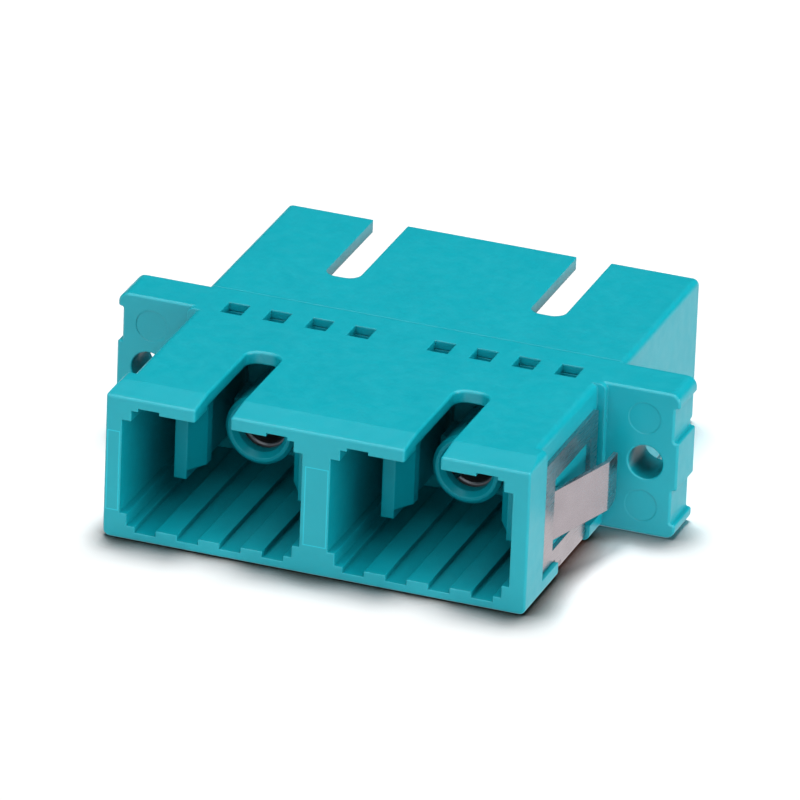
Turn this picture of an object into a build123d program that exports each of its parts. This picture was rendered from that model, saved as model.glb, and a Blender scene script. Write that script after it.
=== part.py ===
from build123d import *
import os

# A flanged duplex SC fibre adapter. Millimetres: X across the ports, Y from front to back, Z up.
# The origin is under the middle of the body, and the two fibre ends meet in the plane Y = 0.

# Body
PORT_PITCH = 12.7  # SC duplex pitch
SIDE_WALL = 1.0
CEILING_WALL = 1.0
FLOOR_WALL = 0.85
SHROUD_LENGTH = 13.05  # from the flange to either mouth
BODY_EDGE_RADIUS = 0.4
MOUTH_EDGE_RADIUS = 0.15
BROW_DEPTH = 1.95  # sloped strip along the top of the front mouth
BROW_DROP = 0.25

# Port cavity
PORT_WIDTH = 11.0
PORT_HEIGHT = 7.25
SKIN = 0.5  # wall left under the floor grooves and round the insert pocket
GROOVE_PITCH = 2.6
GROOVE_WIDTH = 1.3
GROOVES = 4
CEILING_GROOVE = 0.2
CEILING_RELIEF = 0.25  # how far the ceiling rises behind the brow
TOP_KEY_WIDTH = 0.55
TOP_KEY_HEIGHT = 0.65
BOTTOM_KEY_WIDTH = 0.45
BOTTOM_KEY_HEIGHT = 0.75
KEYWAY_WIDTH = 2.15
KEYWAY_LENGTH = 8.65
KEYWAY_END_RADIUS = 0.8
KEYWAY_CORNER_RADIUS = 0.25  # at the rear mouth

# Flange
FLANGE_THICKNESS = 3.0
FLANGE_WING = 4.4  # from the side of the body
FLANGE_CORNER_RADIUS = 0.6
FLANGE_EDGE_CHAMFER = 0.1
SCREW_OFFSET = 2.45  # from the side of the body
SCREW_HOLE = 2.1
SCREW_HOLE_CHAMFER = 0.06
END_NOTCH_DEPTH = 0.3
END_NOTCH_HEIGHT = 2.15
END_NOTCH_MARGIN = 0.9  # from the top or bottom of the flange
END_NOTCH_RADIUS = 0.14
EJECTOR_DIAMETER = 1.95
EJECTOR_SPACING = 5.5
EJECTOR_INSET = 0.15  # from the screw line towards the body
EJECTOR_DEPTH = 0.03
COLLAR_STEP = 0.38  # shoulder round the body in front of the flange
SEAM_STEP = 0.12  # how far the front half stands out behind the flange

# Windows over the insert pocket
WINDOW_WIDTH = 1.3
WINDOW_LENGTH = 1.5
WINDOW_DEPTH = 0.85
WINDOW_LEAD = 0.03  # how far each window starts in front of the pocket

# Split sleeves
SLEEVE_BORE = 2.5
SLEEVE_WALL = 0.35
SLEEVE_LENGTH = 11.4
SLEEVE_SLIT = 0.35
SLEEVE_CHAMFER = 0.08
SLEEVE_CLEARANCE = 0.05  # round the sleeve in its holder
SLEEVE_END_GAP = 0.2
LEFT_SLIT_ANGLE = 20.0
RIGHT_SLIT_ANGLE = 225.0

# Inserts
POCKET_LEDGE = 0.25  # pocket is this much wider than the port on each side
PLATE_CLEARANCE = 0.05
ARM_INNER = 3.43  # from the fibre axis
ARM_THICKNESS = 0.76
ARM_HEIGHT = 5.3
ARM_REACH = 9.35  # from the middle plane
HOOK_HEIGHT = 4.2
HOOK_DEPTH = 0.75
HOOK_RAMP = 1.26
HOOK_LAND = 0.73
HOLDER_DIAMETER = 4.25
HOLDER_LIP = 0.95  # in front of the sleeve's seat
HOLDER_BORE = 2.8
HOLDER_DRAFT = 0.05  # how much the bore's radius grows towards the funnel
HOLDER_MOUTH = 3.4
HOLDER_FUNNEL = 0.4
HOLDER_EDGE_CHAMFER = 0.22
GUSSET_THICKNESS = 0.8
GUSSET_REACH = 2.2
CORE_OPENING_MARGIN = 0.2

# Spring clip
SHEET = 0.25
SIDE_RECESS = 0.5
RIM_LENGTH = 2.85  # full-width rim in front of the recess
CLIP_CLEARANCE = 0.1
CLIP_REAR_GAP = 0.35  # from the collar
CLIP_TOP_DROP = 1.4  # below the top of the body
CLIP_FOOT = 1.05
CLIP_CORNER_RADIUS = 0.2
BEND_RADIUS = 0.15
FRONT_RAIL = 2.2
REAR_LEG = 1.17
REAR_LEG_FOOT = 3.2
CLIP_WINDOW_FOOT = 1.8
CLIP_WINDOW_HEIGHT = 4.5
STRAP_START = 3.82  # from the front edge of the clip
STRAP_WIDTH = 4.05
STRAP_RELIEF = 1.1  # length of the step in front of the strap
STRAP_RELIEF_TOP = 0.62
TAB_FOOT = 2.5
TAB_HEIGHT = 3.05
TAB_RUN = 5.1
TAB_SPREAD = 1.5
TAB_TIP = 1.35
TAB_TIP_RADIUS = 0.6
TAB_BEND_RADIUS = 0.35

# Joint between the two halves
TONGUE_DIAMETER = 0.7
TONGUE_LENGTH = 1.2
TONGUE_CLEARANCE = 0.03
TONGUE_SPACING = 4.4

# Worked out from the sizes above
BODY_WIDTH = PORT_PITCH + PORT_WIDTH + 2 * SIDE_WALL
BODY_HEIGHT = FLOOR_WALL + PORT_HEIGHT + CEILING_WALL
AXIS_HEIGHT = BODY_HEIGHT / 2
CEILING = BODY_HEIGHT - CEILING_WALL
FLANGE_WIDTH = BODY_WIDTH + 2 * FLANGE_WING
SCREW_SPACING = BODY_WIDTH + 2 * SCREW_OFFSET
FLANGE_FACE = FLANGE_THICKNESS / 2
SEAM = FLANGE_FACE + SEAM_STEP
MOUTH = FLANGE_FACE + SHROUD_LENGTH
PORT_CENTRES = [-PORT_PITCH / 2, PORT_PITCH / 2]
GROOVE_PLACES = [(i - (GROOVES - 1) / 2) * GROOVE_PITCH for i in range(GROOVES)]
POCKET_WIDTH = PORT_WIDTH + 2 * POCKET_LEDGE
POCKET_HEIGHT = BODY_HEIGHT - 2 * SKIN
SLEEVE_DIAMETER = SLEEVE_BORE + 2 * SLEEVE_WALL
SLEEVE_SEAT = SLEEVE_DIAMETER + 2 * SLEEVE_CLEARANCE
SEAT_END = SLEEVE_LENGTH / 2 + SLEEVE_END_GAP
HOLDER_REACH = SEAT_END + HOLDER_LIP
CORE_WIDTH = BODY_WIDTH - 2 * SIDE_RECESS
RECESS_FRONT = -MOUTH + RIM_LENGTH
RECESS_REAR = -FLANGE_FACE - COLLAR_STEP
CLIP_FRONT = RECESS_FRONT + CLIP_CLEARANCE
CLIP_REAR = RECESS_REAR - CLIP_REAR_GAP
STRAP_FRONT = CLIP_FRONT + STRAP_START
STRAP_REAR = STRAP_FRONT + STRAP_WIDTH
CHANNEL_FRONT = STRAP_FRONT - STRAP_RELIEF - CLIP_CLEARANCE
CLIP_WINDOW_FRONT = CLIP_FRONT + FRONT_RAIL
OVERCUT = 1.0


def span(low_x, high_x, low_z, high_z):
    """A flat rectangle between two X and two Z places."""
    centre = Pos((low_x + high_x) / 2, (low_z + high_z) / 2)
    return centre * Rectangle(high_x - low_x, high_z - low_z)


def prism_y(section, start, end):
    """A section drawn in X and Z, carried from Y = start to Y = end."""
    return extrude(Plane.XZ.offset(-start) * section, amount=end - start, dir=(0, 1, 0))


def prism_x(section, start, end):
    """A section drawn in Y and Z, carried from X = start to X = end."""
    return extrude(Plane.YZ.offset(start) * section, amount=end - start, dir=(1, 0, 0))


def prism_z(section, start, end):
    """A section drawn in X and Y, carried from Z = start to Z = end."""
    return extrude(Plane.XY.offset(start) * section, amount=end - start, dir=(0, 0, 1))


def rod(diameter, start, end):
    """A round bar along the fibre axis from Y = start to Y = end."""
    return prism_y(Circle(diameter / 2), start, end)


def body_section():
    return Pos(0, AXIS_HEIGHT) * RectangleRounded(BODY_WIDTH, BODY_HEIGHT, BODY_EDGE_RADIUS)


def port_section():
    """The keyed and grooved outline of one port, about the port's own centre line."""
    half = PORT_WIDTH / 2
    section = span(-half, half, FLOOR_WALL, CEILING)
    for place in GROOVE_PLACES:
        section += span(place - GROOVE_WIDTH / 2, place + GROOVE_WIDTH / 2, SKIN, FLOOR_WALL)
    for place in (GROOVE_PLACES[0], GROOVE_PLACES[-1]):
        low_x, high_x = place - GROOVE_WIDTH / 2, place + GROOVE_WIDTH / 2
        section += span(low_x, high_x, CEILING, CEILING + CEILING_GROOVE)
    for side in (-1, 1):
        top = sorted((side * half, side * (half - TOP_KEY_WIDTH)))
        bottom = sorted((side * half, side * (half - BOTTOM_KEY_WIDTH)))
        section -= span(*top, CEILING - TOP_KEY_HEIGHT, CEILING)
        section -= span(*bottom, FLOOR_WALL, FLOOR_WALL + BOTTOM_KEY_HEIGHT)
    return section


def pocket_section(clearance=0.0):
    """The outline of the pocket that holds the insert plates, or of a plate inside it."""
    width = POCKET_WIDTH - 2 * clearance
    return Pos(0, AXIS_HEIGHT) * Rectangle(width, POCKET_HEIGHT - 2 * clearance)


def port_cavity(relief_start):
    """One port: its outline cut in from the mouth, and the raised ceiling from relief_start on."""
    half = PORT_WIDTH / 2 - TOP_KEY_WIDTH
    relief = span(-half, half, CEILING, CEILING + CEILING_RELIEF)
    return prism_y(port_section(), -MOUTH - OVERCUT, -SEAM) + prism_y(relief, relief_start, -SEAM)


def keyway():
    """The key slot in the top of one port, open at the mouth."""
    inner = -MOUTH + KEYWAY_LENGTH
    length = KEYWAY_LENGTH + OVERCUT
    outline = Pos(0, inner - length / 2) * RectangleRounded(KEYWAY_WIDTH, length, KEYWAY_END_RADIUS)
    return prism_z(outline, CEILING - OVERCUT, BODY_HEIGHT + OVERCUT)


def flared_keyway():
    """The key slot with its two corners at the mouth rounded."""
    space = span(-KEYWAY_WIDTH, KEYWAY_WIDTH, -MOUTH - OVERCUT, -MOUTH)
    space += span(-KEYWAY_WIDTH / 2, KEYWAY_WIDTH / 2, -MOUTH - OVERCUT, -MOUTH + OVERCUT)
    corners = space.vertices().group_by(Axis.Y)[1].filter_by(lambda v: abs(v.X) < 0.75 * KEYWAY_WIDTH)
    return keyway() + prism_z(fillet(corners, KEYWAY_CORNER_RADIUS), CEILING - OVERCUT, BODY_HEIGHT + OVERCUT)


def brow():
    """The wedge taken off the top of the front mouth."""
    wedge = Polygon(
        (-MOUTH, BODY_HEIGHT - BROW_DROP),
        (-MOUTH + BROW_DEPTH, BODY_HEIGHT),
        (-MOUTH, BODY_HEIGHT + BROW_DROP),
        align=None,
    )
    return prism_x(wedge, -BODY_WIDTH, BODY_WIDTH)


def shroud(end, browed):
    """The open moulded body from its mouth at the front to Y = end, with both ports."""
    body = prism_y(body_section(), -MOUTH, end)
    relief_start = -MOUTH - OVERCUT
    if browed:
        body -= brow()
        relief_start = -MOUTH + BROW_DEPTH
    body = fillet(body.faces().sort_by(Axis.Y)[0].edges(), MOUTH_EDGE_RADIUS)
    for centre in PORT_CENTRES:
        body -= Pos(centre, 0, 0) * port_cavity(relief_start)
        if browed:
            body = with_rounded_rim(body, Pos(centre, 0, 0) * keyway())
        else:
            body -= Pos(centre, 0, 0) * flared_keyway()
    return body


def with_rounded_rim(body, slot):
    """The body less the slot, with the slot's outside edges rounded."""
    cut = body - slot
    inside = CEILING + CEILING_RELIEF + MOUTH_EDGE_RADIUS / 4
    rim = new_edges(body, slot, combined=cut).filter_by(lambda e: e.bounding_box().max.Z > inside)
    return fillet(rim, MOUTH_EDGE_RADIUS)


def flange():
    """The mounting flange with its screw holes, end notches and ejector marks."""
    half = FLANGE_WIDTH / 2
    outline = Pos(0, AXIS_HEIGHT) * RectangleRounded(FLANGE_WIDTH, BODY_HEIGHT, FLANGE_CORNER_RADIUS)
    for low_z in (END_NOTCH_MARGIN, BODY_HEIGHT - END_NOTCH_MARGIN - END_NOTCH_HEIGHT):
        high_z = low_z + END_NOTCH_HEIGHT
        outline -= span(half - END_NOTCH_DEPTH, half + OVERCUT, low_z, high_z)
        outline -= span(-half - OVERCUT, -half + END_NOTCH_DEPTH, low_z, high_z)
    inside = (FLANGE_CORNER_RADIUS + END_NOTCH_MARGIN) / 2
    corners = outline.vertices().filter_by(lambda v: inside < v.Y < BODY_HEIGHT - inside)
    outline = fillet(corners, END_NOTCH_RADIUS)
    plate = prism_y(outline, -FLANGE_FACE, FLANGE_FACE)
    for face in (0, -1):
        plate = chamfer(plate.faces().sort_by(Axis.Y)[face].edges(), FLANGE_EDGE_CHAMFER)
    for side in (-1, 1):
        plate -= Pos(side * SCREW_SPACING / 2, 0, AXIS_HEIGHT) * screw_hole()
        for step in (-1, 1):
            column = side * (SCREW_SPACING / 2 - EJECTOR_INSET)
            mark = Pos(column, 0, AXIS_HEIGHT + step * EJECTOR_SPACING / 2)
            plate -= mark * rod(EJECTOR_DIAMETER, -FLANGE_FACE - OVERCUT, -FLANGE_FACE + EJECTOR_DEPTH)
    return plate


def screw_hole():
    """One screw hole through the flange, chamfered at both faces."""
    radius = SCREW_HOLE / 2
    flare = radius + SCREW_HOLE_CHAMFER + OVERCUT
    profile = Polygon(
        (0, -FLANGE_FACE - OVERCUT),
        (flare, -FLANGE_FACE - OVERCUT),
        (radius, -FLANGE_FACE + SCREW_HOLE_CHAMFER),
        (radius, FLANGE_FACE - SCREW_HOLE_CHAMFER),
        (flare, FLANGE_FACE + OVERCUT),
        (0, FLANGE_FACE + OVERCUT),
        align=None,
    )
    return revolve(Plane.XY * profile, Axis.Y)


def windows():
    """The row of small openings in the top, over the insert pocket of one port."""
    start = -SEAM - WINDOW_LEAD
    cuts = [
        Pos(place, start + WINDOW_LENGTH / 2) * Rectangle(WINDOW_WIDTH, WINDOW_LENGTH)
        for place in GROOVE_PLACES
    ]
    return prism_z(Sketch() + cuts, BODY_HEIGHT - WINDOW_DEPTH, BODY_HEIGHT + OVERCUT)


def clip_core_section():
    """The outline of the body inside the clip, from the strap's channel to the top."""
    height = BODY_HEIGHT - SHEET
    outline = Pos(0, SHEET + height / 2) * Rectangle(CORE_WIDTH, height)
    bottom, top = outline.vertices().group_by(Axis.Y)
    outline = fillet(bottom, BEND_RADIUS)
    return fillet(outline.vertices().group_by(Axis.Y)[-1], BODY_EDGE_RADIUS)


def clip_seat():
    """What the front half lacks so that the clip lies in it: two side recesses and a channel below."""
    outside = span(-BODY_WIDTH, BODY_WIDTH, -OVERCUT, BODY_HEIGHT + OVERCUT)
    around = outside - clip_core_section()
    sides = around - span(-BODY_WIDTH, BODY_WIDTH, -OVERCUT, CLIP_FOOT - CLIP_CLEARANCE)
    seat = prism_y(sides, RECESS_FRONT, RECESS_REAR)
    return seat + prism_y(around, CHANNEL_FRONT, STRAP_REAR + CLIP_CLEARANCE)


def front_housing():
    """The front half: shroud, collar and flange in one moulding, with the pockets behind."""
    body = shroud(SEAM, browed=True) - clip_seat()
    body += flange()
    for centre in PORT_CENTRES:
        body -= Pos(centre, 0, 0) * prism_y(pocket_section(), -SEAM, SEAM + OVERCUT)
        body -= Pos(centre, 0, 0) * windows()
    for step in (-1, 1):
        place = Pos(0, 0, AXIS_HEIGHT + step * TONGUE_SPACING / 2)
        socket = TONGUE_DIAMETER + 2 * TONGUE_CLEARANCE
        body -= place * rod(socket, SEAM - TONGUE_LENGTH - TONGUE_CLEARANCE, SEAM + OVERCUT)
    return body


def rear_housing():
    """The rear half: a plain shroud turned round, with two pegs in the wall between the ports."""
    body = Rot(0, 0, 180) * shroud(-SEAM, browed=False)
    for step in (-1, 1):
        place = Pos(0, 0, AXIS_HEIGHT + step * TONGUE_SPACING / 2)
        body += place * rod(TONGUE_DIAMETER, SEAM - TONGUE_LENGTH, SEAM + OVERCUT)
    return body


def latch_arm():
    """One latch arm with its hook, on the right of the fibre axis, which is X = 0 and Z = 0."""
    root, tip = -SEAM, -ARM_REACH
    outer = ARM_INNER + ARM_THICKNESS
    strip = prism_z(span(ARM_INNER, outer, tip, root), -ARM_HEIGHT / 2, ARM_HEIGHT / 2)
    inner = ARM_INNER - HOOK_DEPTH
    hook = Polygon(
        (outer, tip),
        (ARM_INNER, tip),
        (inner, tip + HOOK_RAMP),
        (inner, tip + HOOK_RAMP + HOOK_LAND),
        (ARM_INNER, tip + HOOK_RAMP + HOOK_LAND),
        (outer, tip + HOOK_RAMP + HOOK_LAND),
        align=None,
    )
    return strip + prism_z(hook, -HOOK_HEIGHT / 2, HOOK_HEIGHT / 2)


def sleeve_holder_bore():
    """The seat of the sleeve, the drafted bore in front of it and the funnel at the mouth."""
    nose = Polygon(
        (0, -HOLDER_REACH - OVERCUT),
        (HOLDER_MOUTH / 2, -HOLDER_REACH - OVERCUT),
        (HOLDER_MOUTH / 2, -HOLDER_REACH),
        (HOLDER_BORE / 2 + HOLDER_DRAFT, -HOLDER_REACH + HOLDER_FUNNEL),
        (HOLDER_BORE / 2, -SEAT_END),
        (0, -SEAT_END),
        align=None,
    )
    return rod(SLEEVE_SEAT, -SEAT_END, OVERCUT) + revolve(Plane.XY * nose, Axis.Y)


def insert():
    """One insert facing the front: base plate, two latch arms and half of the sleeve holder."""
    plate = prism_y(pocket_section(PLATE_CLEARANCE), -SEAM, 0)
    plate -= windows()
    piece = Pos(0, 0, -AXIS_HEIGHT) * plate
    piece += latch_arm() + mirror(latch_arm(), about=Plane.YZ)
    width = ARM_INNER + ARM_THICKNESS
    gusset = span(-width, width, -GUSSET_THICKNESS / 2, GUSSET_THICKNESS / 2)
    piece += prism_y(gusset, -SEAM - GUSSET_REACH, -SEAM)
    holder = rod(HOLDER_DIAMETER, -HOLDER_REACH, -SEAM)
    piece += chamfer(holder.faces().sort_by(Axis.Y)[0].edges(), HOLDER_EDGE_CHAMFER)
    for side in (-1, 1):
        low_x, high_x = sorted((side * (ARM_INNER - HOOK_DEPTH), side * ARM_INNER))
        low_z, high_z = -HOOK_HEIGHT / 2 - CORE_OPENING_MARGIN, HOOK_HEIGHT / 2 + CORE_OPENING_MARGIN
        piece -= prism_y(span(low_x, high_x, low_z, high_z), -SEAM - GUSSET_REACH - OVERCUT, OVERCUT)
    return Pos(0, 0, AXIS_HEIGHT) * (piece - sleeve_holder_bore())


def sleeve(slit_angle):
    """A split alignment sleeve about the fibre axis, with its slit at an angle from +X."""
    half = SLEEVE_LENGTH / 2
    tube = rod(SLEEVE_DIAMETER, -half, half) - rod(SLEEVE_BORE, -half, half)
    tube = chamfer(tube.edges().filter_by(GeomType.CIRCLE), SLEEVE_CHAMFER)
    slit = prism_y(span(0, SLEEVE_DIAMETER, -SLEEVE_SLIT / 2, SLEEVE_SLIT / 2), -half, half)
    return Pos(0, 0, AXIS_HEIGHT) * Rot(0, -slit_angle, 0) * (tube - slit)


def clip_side_outline():
    """The outline of the clip seen from its side, with the strap at its foot."""
    window_foot, window_top = CLIP_WINDOW_FOOT, CLIP_WINDOW_FOOT + CLIP_WINDOW_HEIGHT
    top = BODY_HEIGHT - CLIP_TOP_DROP
    outline = Polygon(
        (CLIP_FRONT, CLIP_FOOT),
        (STRAP_FRONT - STRAP_RELIEF, CLIP_FOOT),
        (STRAP_FRONT - STRAP_RELIEF, STRAP_RELIEF_TOP),
        (STRAP_FRONT, STRAP_RELIEF_TOP),
        (STRAP_FRONT, -OVERCUT),
        (STRAP_REAR, -OVERCUT),
        (STRAP_REAR, REAR_LEG_FOOT),
        (CLIP_REAR, REAR_LEG_FOOT),
        (CLIP_REAR, top),
        (CLIP_FRONT, top),
        align=None,
    )
    outline = fillet(outline.vertices().group_by(Axis.Y)[-1], CLIP_CORNER_RADIUS)
    return outline - span(CLIP_WINDOW_FRONT, CLIP_REAR - REAR_LEG, window_foot, window_top)


def clip_tab():
    """The sprung tab on the right: it leans out from the front of the window, then runs straight back."""
    face = (CORE_WIDTH + SHEET) / 2
    bend = (face + TAB_SPREAD, CLIP_WINDOW_FRONT + TAB_RUN)
    path = FilletPolyline(
        (face, CLIP_WINDOW_FRONT - FRONT_RAIL / 2),
        (face, CLIP_WINDOW_FRONT),
        bend,
        (bend[0], bend[1] + TAB_TIP),
        radius=TAB_BEND_RADIUS,
    )
    tab = prism_z(trace(path, SHEET), TAB_FOOT, TAB_FOOT + TAB_HEIGHT)
    end = tab.faces().sort_by(Axis.Y)[-1]
    return fillet(end.edges().sort_by(Axis.Z)[0], TAB_TIP_RADIUS)


def mounting_clip():
    """The spring clip, stamped and folded from one strip: two side plates, a strap below and two tabs."""
    outer_width = CORE_WIDTH + 2 * SHEET
    height = BODY_HEIGHT + OVERCUT
    skin = Pos(0, height / 2) * Rectangle(outer_width, height)
    skin = fillet(skin.vertices().group_by(Axis.Y)[0], BEND_RADIUS + SHEET)
    fold = prism_y(skin - clip_core_section(), CLIP_FRONT, CLIP_REAR)
    clip = fold & prism_x(clip_side_outline(), -BODY_WIDTH, BODY_WIDTH)
    tab = clip_tab()
    return clip + tab + mirror(tab, about=Plane.YZ)


def build_parts():
    """Every node of the adapter by name."""
    left, right = (Pos(centre, 0, 0) for centre in PORT_CENTRES)
    front_insert = insert()
    rear_insert = Rot(0, 0, 180) * insert()
    return {
        "front_housing": front_housing(),
        "rear_housing": rear_housing(),
        "mounting_clip": mounting_clip(),
        "left_front_insert": left * front_insert,
        "left_rear_insert": left * rear_insert,
        "right_front_insert": right * front_insert,
        "right_rear_insert": right * rear_insert,
        "left_sleeve": left * sleeve(LEFT_SLIT_ANGLE),
        "right_sleeve": right * sleeve(RIGHT_SLIT_ANGLE),
    }


os.makedirs("parts", exist_ok=True)
for name, shape in build_parts().items():
    export_step(shape, f"parts/{name}.step")
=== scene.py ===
"""Looks of a duplex SC fibre adapter: its finishes, the moulding's detail, the floor, light and camera."""

import logging
import math
from collections.abc import Iterable
from dataclasses import dataclass, field
from enum import Enum

import bmesh
import bpy
from mathutils import Matrix, Vector

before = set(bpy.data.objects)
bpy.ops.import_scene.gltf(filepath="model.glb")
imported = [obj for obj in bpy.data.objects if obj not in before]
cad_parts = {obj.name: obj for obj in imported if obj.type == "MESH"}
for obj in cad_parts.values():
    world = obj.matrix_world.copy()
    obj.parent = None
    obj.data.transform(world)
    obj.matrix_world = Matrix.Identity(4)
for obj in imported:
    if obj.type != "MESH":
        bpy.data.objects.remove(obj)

logging.basicConfig(level=logging.INFO, format="%(message)s")
log = logging.getLogger("adapter")

Pair = tuple[float, float]
Triple = tuple[float, float, float]
Socket = bpy.types.NodeSocket

MM = 0.001
EDGE_SAMPLES = 5
NOISE_MIDDLE = (0.3, 0.7)
# Which inputs of a Mix node take its two numbers, and which its two colours.
MIX_NUMBERS = (2, 3)
MIX_COLOURS = (6, 7)


class Coat(Enum):
    """The finishes that the adapter's pieces are dressed in."""

    HOUSING = "housing"
    INSERT = "insert"
    SPRING_STEEL = "spring_steel"
    SLEEVE = "sleeve"


def scaled(values: tuple[float, ...], share: float) -> tuple[float, ...]:
    """Multiplies some numbers, such as a colour or sizes in millimetres, and returns them."""
    return tuple(value * share for value in values)


@dataclass(frozen=True)
class Pattern:
    """A noise pattern: the size of its features, its detail and how far each axis draws it out."""

    size_mm: float
    detail: float
    stretch: Triple = (1.0, 1.0, 1.0)


class Nodes:
    """The nodes of one tree, each added and linked in a call."""

    def __init__(self, tree: bpy.types.NodeTree) -> None:
        """Takes a tree over and empties it."""
        self.tree = tree
        self.tree.nodes.clear()

    def fill(self, socket: Socket, value: object) -> None:
        """Fills one input with a link or a plain value.

        Args:
            socket: the input.
            value: another node's output, or a number or tuple.
        """
        if isinstance(value, Socket):
            self.tree.links.new(value, socket)
        else:
            socket.default_value = value

    def add(self, kind: str, **values: object) -> bpy.types.Node:
        """Adds one node and sets its properties and inputs.

        Args:
            kind: the node's Blender type.
            values: properties by name, and inputs as in_NAME with underscores for spaces.

        Returns:
            The new node.
        """
        node = self.tree.nodes.new(kind)
        for name, value in values.items():
            if name.startswith("in_"):
                self.fill(node.inputs[name[3:].replace("_", " ")], value)
            else:
                setattr(node, name, value)
        return node

    def combine(self, kind: str, *given: object, **values: object) -> bpy.types.Node:
        """Adds one node and fills its first inputs in turn.

        Args:
            kind: the node's Blender type.
            given: what the inputs are filled with.
            values: properties by name.

        Returns:
            The new node.
        """
        node = self.add(kind, **values)
        for socket, value in zip(node.inputs, given):
            self.fill(socket, value)
        return node

    def maths(self, operation: str, *given: object) -> Socket:
        """Computes one number from others and returns its socket."""
        return self.combine("ShaderNodeMath", *given, operation=operation).outputs[0]

    def vector(self, operation: str, *given: object) -> Socket:
        """Computes one vector, length or dot product from others and returns its socket."""
        node = self.combine("ShaderNodeVectorMath", *given, operation=operation)
        return node.outputs["Value" if operation in ("LENGTH", "DOT_PRODUCT") else "Vector"]

    def split(self, vector: Socket) -> list[Socket]:
        """Splits a vector and returns its three sockets."""
        return list(self.combine("ShaderNodeSeparateXYZ", vector).outputs)

    def ramp(self, value: Socket, taken: Pair, given: Pair = (0.0, 1.0)) -> Socket:
        """Maps one range of a value to another, clamped at both ends.

        Args:
            value: the value's socket.
            taken: the two values at the range's ends.
            given: what they become.

        Returns:
            The mapped value's socket.
        """
        return self.combine("ShaderNodeMapRange", value, *taken, *given).outputs[0]

    def noise(self, place: Socket, pattern: Pattern) -> Socket:
        """Adds a noise pattern in object space.

        Args:
            place: the object coordinates.
            pattern: the pattern's sizes.

        Returns:
            The noise's socket.
        """
        scale = [1 / (pattern.size_mm * MM * share) for share in pattern.stretch]
        mapped = self.add("ShaderNodeMapping", in_Vector=place, in_Scale=scale).outputs["Vector"]
        noise = self.add("ShaderNodeTexNoise", in_Vector=mapped, in_Scale=1.0, in_Detail=pattern.detail)
        return noise.outputs["Fac"]

    def span(self, noise: Socket, low: float, high: float) -> Socket:
        """Maps a noise's middle range to the span from low to high."""
        return self.ramp(noise, NOISE_MIDDLE, (low, high))

    def waver(self, noise: Socket, middle: float, reach: float) -> Socket:
        """Maps a noise to values up to a reach either side of a middle one."""
        return self.span(noise, middle - reach, middle + reach)

    def mix(self, share: Socket, first: object, second: object) -> Socket:
        """Mixes two numbers.

        Args:
            share: how far the result goes from the first to the second.
            first: a socket or a number.
            second: a socket or a number.

        Returns:
            The result's socket.
        """
        node = self.combine("ShaderNodeMix", share)
        for place, value in zip(MIX_NUMBERS, (first, second)):
            self.fill(node.inputs[place], value)
        return node.outputs[0]

    def blend(self, share: Socket, first: object, second: object) -> Socket:
        """Mixes two colours.

        Args:
            share: how far the result goes from the first to the second.
            first: a socket or three numbers.
            second: a socket or three numbers.

        Returns:
            The result's socket.
        """
        node = self.combine("ShaderNodeMix", share, data_type="RGBA")
        for place, colour in zip(MIX_COLOURS, (first, second)):
            self.fill(node.inputs[place], colour if isinstance(colour, Socket) else (*colour, 1.0))
        return node.outputs[2]

    def overlay(self, share: Socket, under: bpy.types.Node, over: bpy.types.Node) -> bpy.types.Node:
        """Lays one shader over another by a share and returns the node that mixes them."""
        return self.combine("ShaderNodeMixShader", share, under.outputs[0], over.outputs[0])

    def soft_edge(self, radius_mm: float) -> Socket:
        """Rounds the edges by a small radius and returns the normal."""
        return self.add("ShaderNodeBevel", samples=EDGE_SAMPLES, in_Radius=radius_mm * MM).outputs["Normal"]

    def relief(self, noise: Socket, height_mm: float, normal: Socket) -> Socket:
        """Raises a fine noise on a surface.

        Args:
            noise: the noise's socket.
            height_mm: its height.
            normal: the surface's own normal.

        Returns:
            The new normal's socket.
        """
        bump = self.add(
            "ShaderNodeBump", in_Strength=1.0, in_Distance=height_mm * MM, in_Height=noise, in_Normal=normal
        )
        return bump.outputs["Normal"]

    def openness(self, reach_mm: float, samples: int, alone: bool = False) -> Socket:
        """Finds how open a place is, by looking round it.

        Args:
            reach_mm: how far it looks.
            samples: how many times it looks.
            alone: whether it sees only the piece itself.

        Returns:
            A value that is 0 in the deepest hollow and 1 in the open.
        """
        shelter = self.add(
            "ShaderNodeAmbientOcclusion", samples=samples, only_local=alone, in_Distance=reach_mm * MM
        )
        return shelter.outputs["AO"]


class MaterialNodes(Nodes):
    """The nodes of one new material."""

    def __init__(self, name: str) -> None:
        """Starts a material without nodes."""
        self.material = bpy.data.materials.new(name)
        self.material.use_nodes = True
        super().__init__(self.material.node_tree)

    def finish(self, surface: bpy.types.Node) -> bpy.types.Material:
        """Sends a shader to the material's surface and returns the material."""
        self.add("ShaderNodeOutputMaterial", in_Surface=surface.outputs[0])
        return self.material


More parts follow.
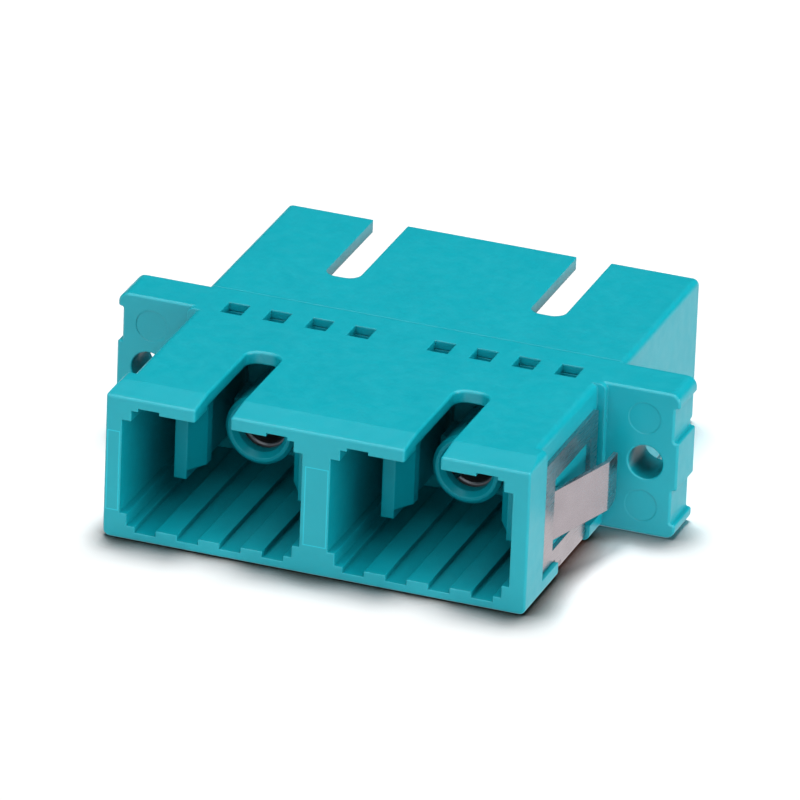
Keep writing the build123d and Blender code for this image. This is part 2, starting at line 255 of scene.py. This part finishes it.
@dataclass(frozen=True)
class Panel:
    """A shallow plain panel that the mould's inserts leave on the front mouth's face.

    Its centre and half sizes run across and upwards, and only what lies in front of mouth_mm is drawn on.
    """

    centre_mm: Pair
    half_mm: Pair
    line_mm: float = 0.05
    mouth_mm: float = -14.5

    def line(self, nodes: Nodes, place: Socket) -> Socket:
        """Draws the panel's thin raised border as a painted highlight.

        Args:
            nodes: the material's nodes.
            place: the object coordinates.

        Returns:
            A value that is 1 on the border and 0 elsewhere.
        """
        centre = scaled((self.centre_mm[0], 0.0, self.centre_mm[1]), MM)
        off = nodes.vector("ABSOLUTE", nodes.vector("SUBTRACT", place, centre))
        across, _, upward = nodes.split(off)
        reach = nodes.maths(
            "MAXIMUM",
            nodes.maths("SUBTRACT", across, self.half_mm[0] * MM),
            nodes.maths("SUBTRACT", upward, self.half_mm[1] * MM),
        )
        border = nodes.ramp(nodes.maths("ABSOLUTE", reach), (0.0, self.line_mm * MM), (1.0, 0.0))
        on_mouth = nodes.maths("LESS_THAN", nodes.split(place)[1], self.mouth_mm * MM)
        return nodes.maths("MULTIPLY", border, on_mouth)


@dataclass(frozen=True)
class MouldedPlastic:
    """A satin moulded plastic: soft edges with a painted highlight, flow clouds, fine grain, painted shade
    in its hollows.

    edge_turn says how closely the rounded edge's normal follows the flat one, first where the painted edge
    highlight starts and then where it is strongest. The open range of the painted shade says how open a
    place is, first where the painted shade is full and then where it ends.
    """

    colour: Triple
    shade: Triple
    gloss_level: float = 0.5
    refraction: float = 1.52
    roughness: float = 0.36
    roughness_swing: float = 0.05
    smear: Pattern = Pattern(0.8, 4.0)
    grain: Pattern = Pattern(0.09, 2.0)
    grain_height_mm: float = 0.0025
    cloud: Pattern = Pattern(4.0, 3.0, (1.0, 1.6, 1.0))
    mottle: Pattern = Pattern(0.6, 4.0)
    mottle_share: float = 0.05
    mottle_dark: float = 0.4
    edge_mm: float = 0.12
    # These four fields paint a highlight onto rounded edges and panel borders.
    edge_turn: Pair = (0.99, 0.8)
    edge_highlight_share: float = 0.45
    edge_highlight_gain: float = 1.45
    edge_highlight_lift: float = 0.01
    # These four fields paint shade into the colour where the piece hides itself from its surroundings.
    painted_shade_reach_mm: float = 12.0
    painted_shade_samples: int = 4
    painted_shade_open: Pair = (0.08, 0.42)
    painted_shade_dark: float = 0.26
    milky_share: float = 0.12
    milky_depth_mm: float = 0.3
    milky_tint: Triple = (0.4, 1.0, 1.0)
    panels: tuple[Panel, ...] = ()

    def body(self, nodes: Nodes, place: Socket, pale: Socket) -> Socket:
        """Mixes the plastic's colour: clouds where it flowed, a fine mottle, a painted highlight on edges,
        painted shade in hollows.

        Args:
            nodes: the material's nodes.
            place: the object coordinates.
            pale: where the painted highlight on edges and panel borders lies, from 0 to 1.

        Returns:
            The colour's socket.
        """
        cloud = nodes.span(nodes.noise(place, self.cloud), 0.0, 1.0)
        tint = nodes.blend(cloud, self.colour, self.shade)
        fleck = nodes.span(nodes.noise(place, self.mottle), 0.0, self.mottle_share)
        mottled = nodes.blend(fleck, tint, scaled(self.colour, self.mottle_dark))
        # Painted highlight: rounded edges and panel borders are lightened in the colour itself.
        highlight_colour = tuple(min(1.0, channel * self.edge_highlight_gain + self.edge_highlight_lift) for channel in self.colour)
        highlit_colour = nodes.blend(pale, mottled, highlight_colour)
        # Painted shade: the colour darkens where ambient occlusion finds the piece hiding itself.
        openness = nodes.openness(self.painted_shade_reach_mm, self.painted_shade_samples, alone=True)
        unshaded = nodes.ramp(openness, self.painted_shade_open)
        return nodes.blend(unshaded, scaled(self.colour, self.painted_shade_dark), highlit_colour)

    def material(self, name: str) -> bpy.types.Material:
        """Builds the material.

        Args:
            name: the material's name.

        Returns:
            The node material.
        """
        nodes = MaterialNodes(name)
        place = nodes.add("ShaderNodeTexCoord").outputs["Object"]
        edge = nodes.soft_edge(self.edge_mm)
        flat = nodes.add("ShaderNodeNewGeometry").outputs["Normal"]
        # Painted highlight on rounded edges, where the softened normal turns away from the flat one.
        pale = nodes.ramp(nodes.vector("DOT_PRODUCT", edge, flat), self.edge_turn, (0.0, self.edge_highlight_share))
        # The panels' borders join the painted highlight.
        for panel in self.panels:
            pale = nodes.maths("MAXIMUM", pale, panel.line(nodes, place))
        smear = nodes.noise(place, self.smear)
        grain = nodes.noise(place, self.grain)
        shader = nodes.add(
            "ShaderNodeBsdfPrincipled",
            in_Base_Color=self.body(nodes, place, pale),
            in_Roughness=nodes.waver(smear, self.roughness, self.roughness_swing),
            in_Normal=nodes.relief(grain, self.grain_height_mm, edge),
            in_IOR=self.refraction,
            in_Specular_IOR_Level=self.gloss_level,
            in_Subsurface_Weight=self.milky_share,
            in_Subsurface_Radius=self.milky_tint,
            in_Subsurface_Scale=self.milky_depth_mm * MM,
        )
        return nodes.finish(shader)


@dataclass(frozen=True)
class RolledMetal:
    """A bare metal with fine rolling lines along one axis."""

    colour: Triple
    roughness: float
    roughness_swing: float
    lines: Pattern
    line_height_mm: float = 0.0006
    edge_mm: float = 0.04
    cloud: Pattern = Pattern(2.5, 2.0)
    cloud_dark: float = 0.86

    def material(self, name: str) -> bpy.types.Material:
        """Builds the material.

        Args:
            name: the material's name.

        Returns:
            The node material.
        """
        nodes = MaterialNodes(name)
        place = nodes.add("ShaderNodeTexCoord").outputs["Object"]
        lines = nodes.noise(place, self.lines)
        cloud = nodes.span(nodes.noise(place, self.cloud), 0.0, 1.0)
        shader = nodes.add(
            "ShaderNodeBsdfPrincipled",
            in_Metallic=1.0,
            in_Base_Color=nodes.blend(cloud, self.colour, scaled(self.colour, self.cloud_dark)),
            in_Roughness=nodes.waver(lines, self.roughness, self.roughness_swing),
            in_Normal=nodes.relief(lines, self.line_height_mm, nodes.soft_edge(self.edge_mm)),
        )
        return nodes.finish(shader)


@dataclass
class Wardrobe:
    """Every finish of the adapter, each made once."""

    left_wall_panel: Panel = Panel(centre_mm=(-12.33, 4.2), half_mm=(0.36, 2.47))
    partition_panel: Panel = Panel(centre_mm=(0.05, 4.25), half_mm=(0.68, 2.43))
    made: dict[Coat, bpy.types.Material] = field(default_factory=dict)

    def __post_init__(self) -> None:
        """Makes the finishes."""
        finishes = {
            Coat.HOUSING: MouldedPlastic(
                colour=(0.0015, 0.43, 0.52),
                shade=(0.0012, 0.405, 0.495),
                panels=(self.left_wall_panel, self.partition_panel),
            ),
            Coat.INSERT: MouldedPlastic(
                colour=(0.001, 0.37, 0.45),
                shade=(0.0008, 0.35, 0.43),
                gloss_level=0.25,
            ),
            Coat.SPRING_STEEL: RolledMetal(
                colour=(0.52, 0.465, 0.495),
                roughness=0.28,
                roughness_swing=0.05,
                lines=Pattern(0.05, 3.0, (1.0, 30.0, 1.0)),
            ),
            Coat.SLEEVE: RolledMetal(
                colour=(0.20, 0.21, 0.23),
                roughness=0.48,
                roughness_swing=0.06,
                lines=Pattern(0.06, 3.0, (1.0, 1.0, 8.0)),
            ),
        }
        self.made = {coat: finish.material(coat.value) for coat, finish in finishes.items()}

    def dress(self, node: str, coat: Coat) -> None:
        """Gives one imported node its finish.

        Args:
            node: the node's name.
            coat: the finish.
        """
        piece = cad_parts[node]
        piece.data.materials.clear()
        piece.data.materials.append(self.made[coat])
        log.info("%s wears %s", node, coat.value)


@dataclass(frozen=True)
class Viewpoint:
    """Where the photograph was taken from, and its lens.

    The angles are in degrees, and the azimuth grows from straight in front towards the adapter's right end.
    aim_mm moves the camera sideways and upwards without turning it.
    """

    azimuth: float = 19.412
    elevation: float = 24.595
    roll: float = 2.28
    distance_mm: float = 700.0
    focal_px: float = 12140.9
    target_mm: Triple = (0.0, -1.5, 4.7)
    aim_mm: Pair = (0.288, 0.752)
    sensor_mm: float = 36.0
    frame_px: int = 800
    clip_m: Pair = (0.01, 20.0)

    def build(self) -> None:
        """Places the camera and makes it the scene's own."""
        azimuth, elevation, roll = (math.radians(a) for a in (self.azimuth, self.elevation, self.roll))
        flat = Vector((math.cos(azimuth), math.sin(azimuth), 0))
        level = math.cos(elevation)
        back = Vector((math.sin(azimuth) * level, -math.cos(azimuth) * level, math.sin(elevation)))
        upright = back.cross(flat)
        right = math.cos(roll) * flat + math.sin(roll) * upright
        up = math.cos(roll) * upright - math.sin(roll) * flat
        centred = Vector(self.target_mm) + back * self.distance_mm
        place = centred + right * self.aim_mm[0] + up * self.aim_mm[1]
        lens = bpy.data.cameras.new("camera")
        lens.sensor_width = self.sensor_mm
        lens.lens = self.focal_px * self.sensor_mm / self.frame_px
        lens.clip_start, lens.clip_end = self.clip_m
        camera = bpy.data.objects.new("camera", lens)
        turn = Matrix((right, up, back)).transposed().to_4x4()
        camera.matrix_world = Matrix.Translation(place * MM) @ turn
        bpy.context.scene.collection.objects.link(camera)
        bpy.context.scene.camera = camera


@dataclass(frozen=True)
class Floor:
    """The pale floor, which shows white to the camera and keeps the adapter's shadow.

    The contact shadow lies along the adapter's front and right edges. It fades in across contact_left_mm and
    along contact_rear_mm, and contact_open says how open a place is where it is darkest and where it ends.
    """

    drop_mm: float = 0.02
    side_mm: float = 3000.0
    white: float = 0.92
    gain: float = 1.28
    mirrored: float = 0.85
    contact_mm: float = 2.3
    contact_samples: int = 6
    contact_open: Pair = (0.5, 1.0)
    contact_curve: float = 1.5
    contact_dark: Triple = (0.11, 0.055, 0.04)
    contact_reach_mm: float = 26.0
    contact_left_mm: Pair = (-14.5, -12.0)
    contact_rear_mm: Pair = (1.0, -3.0)

    def build(self) -> bpy.types.Object:
        """Lays the floor.

        Returns:
            The floor.
        """
        shape = bmesh.new()
        bmesh.ops.create_grid(shape, x_segments=1, y_segments=1, size=self.side_mm * MM / 2)
        bmesh.ops.translate(shape, verts=shape.verts, vec=(0, 0, -self.drop_mm * MM))
        mesh = bpy.data.meshes.new("floor")
        shape.to_mesh(mesh)
        shape.free()
        floor = bpy.data.objects.new("floor", mesh)
        bpy.context.scene.collection.objects.link(floor)
        mesh.materials.append(self.paper())
        return floor

    def clearance(self, nodes: Nodes, place: Socket) -> Socket:
        """Finds where the floor lies close along the adapter's front and right edges.

        Args:
            nodes: the material's nodes.
            place: the object coordinates.

        Returns:
            A value that is 0 against the adapter and 1 on the open floor.
        """
        across, along, _ = nodes.split(place)
        beside = nodes.maths(
            "MULTIPLY",
            nodes.ramp(across, scaled(self.contact_left_mm, MM)),
            nodes.ramp(along, scaled(self.contact_rear_mm, MM)),
        )
        openness = nodes.openness(self.contact_mm, self.contact_samples)
        fade = nodes.maths("POWER", nodes.ramp(openness, self.contact_open), self.contact_curve)
        return nodes.mix(beside, 1.0, fade)

    def paper(self) -> bpy.types.Material:
        """Makes the floor's white, which the camera sees as pure white beside the shadow.

        Returns:
            The floor's material.
        """
        nodes = MaterialNodes("floor")
        place = nodes.add("ShaderNodeTexCoord").outputs["Object"]
        path = nodes.add("ShaderNodeLightPath")
        seen = path.outputs["Is Camera Ray"]
        near = nodes.maths("LESS_THAN", nodes.vector("LENGTH", place), self.contact_reach_mm * MM)
        bright = self.white * self.gain
        contact = nodes.blend(self.clearance(nodes, place), self.contact_dark, (bright, bright, bright))
        plain = nodes.add("ShaderNodeBsdfDiffuse", in_Color=nodes.mix(seen, self.white, bright))
        shaded = nodes.add("ShaderNodeBsdfDiffuse", in_Color=contact)
        paper = nodes.overlay(nodes.maths("MULTIPLY", near, seen), plain, shaded)
        mirror = nodes.add("ShaderNodeEmission", in_Strength=self.mirrored)
        return nodes.finish(nodes.overlay(path.outputs["Is Glossy Ray"], paper, mirror))


@dataclass(frozen=True)
class Tent:
    """The surroundings: pure white to the camera, dim to the part, bright in front in its reflections.

    rise and mirror_turn say where the light starts to grow and where it is full: rise by the height that a
    ray climbs to, and mirror_turn by how far a reflected ray turns towards mirror_side.
    """

    low: float = 0.02
    high: float = 0.09
    rise: Pair = (0.2, 0.85)
    mirror_dark: float = 0.02
    mirror_bright: float = 0.9
    mirror_turn: Pair = (0.0, 0.8)
    mirror_side: Triple = (0.35, -0.75, 0.55)

    def build(self) -> None:
        """Makes the surroundings the scene's own."""
        world = bpy.data.worlds.new("tent")
        world.use_nodes = True
        nodes = Nodes(world.node_tree)
        place = nodes.add("ShaderNodeTexCoord").outputs["Generated"]
        path = nodes.add("ShaderNodeLightPath")
        facing = nodes.vector("DOT_PRODUCT", place, tuple(Vector(self.mirror_side).normalized()))
        mirror = nodes.ramp(facing, self.mirror_turn, (self.mirror_dark, self.mirror_bright))
        dome = nodes.ramp(nodes.split(place)[2], self.rise, (self.low, self.high))
        lit = nodes.mix(path.outputs["Is Glossy Ray"], dome, mirror)
        strength = nodes.mix(path.outputs["Is Camera Ray"], lit, 1.0)
        background = nodes.add("ShaderNodeBackground", in_Color=(1, 1, 1, 1), in_Strength=strength)
        nodes.add("ShaderNodeOutputWorld", in_Surface=background.outputs[0])
        bpy.context.scene.world = world


@dataclass(frozen=True)
class Lamp:
    """One square soft lamp that faces the adapter."""

    name: str
    place_m: Triple
    side_m: float
    power_w: float

    def hang(self, lit: bpy.types.Collection) -> None:
        """Hangs the lamp.

        Args:
            lit: the objects that it lights.
        """
        light = bpy.data.lights.new(self.name, "AREA")
        light.size, light.energy = self.side_m, self.power_w
        lamp = bpy.data.objects.new(self.name, light)
        lamp.location = self.place_m
        lamp.rotation_euler = (-Vector(self.place_m)).to_track_quat("-Z", "Y").to_euler()
        lamp.light_linking.receiver_collection = lit
        bpy.context.scene.collection.objects.link(lamp)


@dataclass(frozen=True)
class Studio:
    """The camera, the floor, the surroundings, and lamps that light the floor and the part separately."""

    viewpoint: Viewpoint = Viewpoint()
    floor: Floor = Floor()
    tent: Tent = Tent()
    ground_lamps: tuple[Lamp, ...] = (Lamp("shadow", (-0.045, 0.125, 0.73), 0.3, 4.9),)
    part_lamps: tuple[Lamp, ...] = (
        Lamp("top", (0.05, 0.0, 0.72), 1.1, 8.0),
        Lamp("front", (-0.05, -0.65, 0.08), 0.9, 3.4),
        Lamp("side", (0.6, -0.12, 0.1), 0.3, 2.1),
    )

    def light(self, name: str, lit: Iterable[bpy.types.Object], lamps: tuple[Lamp, ...]) -> None:
        """Hangs some lamps that light only some objects.

        Args:
            name: what the lit objects are called together.
            lit: the objects.
            lamps: the lamps.
        """
        group = bpy.data.collections.new(name)
        for piece in lit:
            group.objects.link(piece)
        for lamp in lamps:
            lamp.hang(group)

    def build(self) -> None:
        """Sets up the whole studio."""
        self.viewpoint.build()
        ground = self.floor.build()
        self.tent.build()
        self.light("ground", [ground], self.ground_lamps)
        self.light("adapter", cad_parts.values(), self.part_lamps)
        bpy.context.scene.view_settings.view_transform = "Standard"


def main() -> None:
    """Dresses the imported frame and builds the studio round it."""
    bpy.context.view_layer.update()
    wardrobe = Wardrobe()
    for node in ("front_housing", "rear_housing"):
        wardrobe.dress(node, Coat.HOUSING)
    for side in ("left", "right"):
        for end in ("front", "rear"):
            wardrobe.dress(f"{side}_{end}_insert", Coat.INSERT)
        wardrobe.dress(f"{side}_sleeve", Coat.SLEEVE)
    wardrobe.dress("mounting_clip", Coat.SPRING_STEEL)
    Studio().build()


if __name__ == "__main__":
    main()
